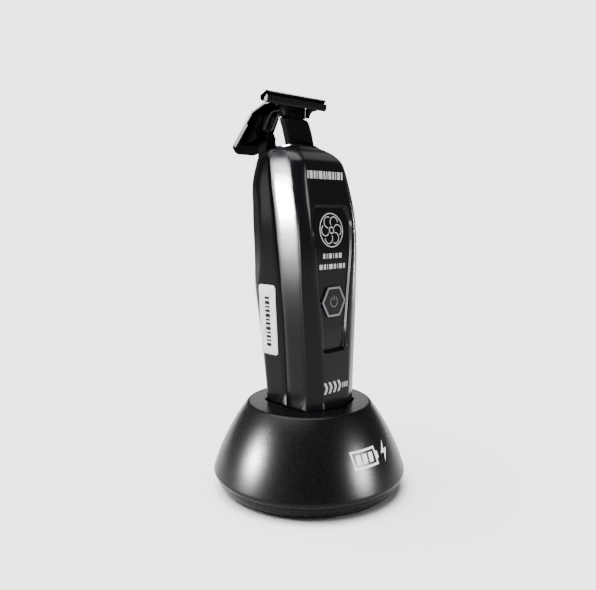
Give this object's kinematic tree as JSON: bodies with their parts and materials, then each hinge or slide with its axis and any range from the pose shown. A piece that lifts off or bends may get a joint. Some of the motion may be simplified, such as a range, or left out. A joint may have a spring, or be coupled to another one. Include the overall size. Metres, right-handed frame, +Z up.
{
  "type": "hair clipper",
  "caption": "Cordless hair clipper with a T-shaped blade on a narrow neck, a hexagonal power button in a sunken panel, and a domed charging dock that it stands in.",
  "frame": {"origin": "centre of the dock's underside, on the table", "axes": "+Z up along the standing clipper, -Y towards the power button side, +X to the right seen from the button side"},
  "size_m": [0.0956, 0.0968, 0.1911],
  "materials": {
    "dock_plastic": "satin black with a fine sparkle grain",
    "body_plastic": "satin black",
    "dark_plastic": "matt black",
    "button_plastic": "gloss black",
    "ring_grey": "satin grey metal",
    "rubber": "soft black",
    "steel": "brushed",
    "plate_metal": "black coated with polished bright edges",
    "black_blade": "black coated steel with polished ends",
    "zinc": "grey plated",
    "brass": "machined",
    "gold_contact": "gold plated",
    "copper": "enamelled copper wire",
    "board": "green solder mask",
    "battery_sleeve": "shrink sleeve",
    "label_paper": "white blank label"
  },
  "bodies": {
    "dock": {"dock_shell": "dock_plastic", "socket_liner": "dark_plastic", "dock_base": "dock_plastic", "anti_slip_pad": "rubber", "ballast_plate": "zinc", "dock_circuit_board": "board", "pin_block": "dark_plastic", "charge_inlet": "steel", "dock_screw_front": "steel", "dock_screw_left": "steel", "dock_screw_right": "steel"},
    "clipper": {"front_shell": "body_plastic", "rear_shell": "body_plastic", "tactile_switch": "dark_plastic", "main_circuit_board": "board", "battery_cell": "battery_sleeve", "battery_cradle": "dark_plastic", "charge_contact_left": "gold_contact", "charge_contact_right": "gold_contact", "serial_label": "label_paper", "shell_screw_low_left": "steel", "shell_screw_low_right": "steel", "shell_screw_high_left": "steel", "shell_screw_high_right": "steel", "motor_can": "steel", "motor_cover": "dark_plastic", "stator_winding": "copper", "motor_mount": "zinc", "lever_pivot_pin": "steel", "drive_housing": "dark_plastic", "head_bracket": "dark_plastic", "blade_plate": "plate_metal", "fixed_blade": "black_blade", "blade_screw_left": "steel", "blade_screw_right": "steel", "tension_spring": "steel"},
    "power_button": {"button_cap": "button_plastic", "button_ring": "ring_grey"},
    "rotor": {"rotor_magnet": "zinc", "motor_shaft": "steel", "eccentric_cam": "brass"},
    "drive_lever": {"drive_lever": "dark_plastic"},
    "cutter": {"cutter_blade": "black_blade", "cutter_carrier": "dark_plastic"},
    "charge_pin_left": {"charge_pin_left": "gold_contact"},
    "charge_pin_right": {"charge_pin_right": "gold_contact"}
  },
  "joints": [
    {"name": "dock_lift", "type": "slide", "parent": "dock", "child": "clipper", "axis": [0, 0, 1], "range_m": [0, 0.06]},
    {"name": "power_button_press", "type": "slide", "parent": "clipper", "child": "power_button", "axis": [0, 1, 0], "range_m": [0, 0.0006], "stiffness_N_per_m": 800},
    {"name": "motor_spin", "type": "hinge", "parent": "clipper", "child": "rotor", "pos_m": [0, 0.0065, 0.125], "axis": [0, 0, 1], "continuous": true},
    {"name": "lever_swing", "type": "hinge", "parent": "clipper", "child": "drive_lever", "pos_m": [0, 0.0068, 0.1625], "axis": [0, 1, 0], "range_deg": [-3.5, 3.5]},
    {"name": "cutter_slide", "type": "slide", "parent": "clipper", "child": "cutter", "axis": [1, 0, 0], "range_m": [-0.0012, 0.0012]},
    {"name": "pin_left_press", "type": "slide", "parent": "dock", "child": "charge_pin_left", "axis": [0, 0, 1], "range_m": [-0.0006, 0], "stiffness_N_per_m": 500},
    {"name": "pin_right_press", "type": "slide", "parent": "dock", "child": "charge_pin_right", "axis": [0, 0, 1], "range_m": [-0.0006, 0], "stiffness_N_per_m": 500}
  ],
  "couplings": [
    {"joint": "lever_swing", "follows": "cutter_slide", "rad_per_m": 50}
  ]
}
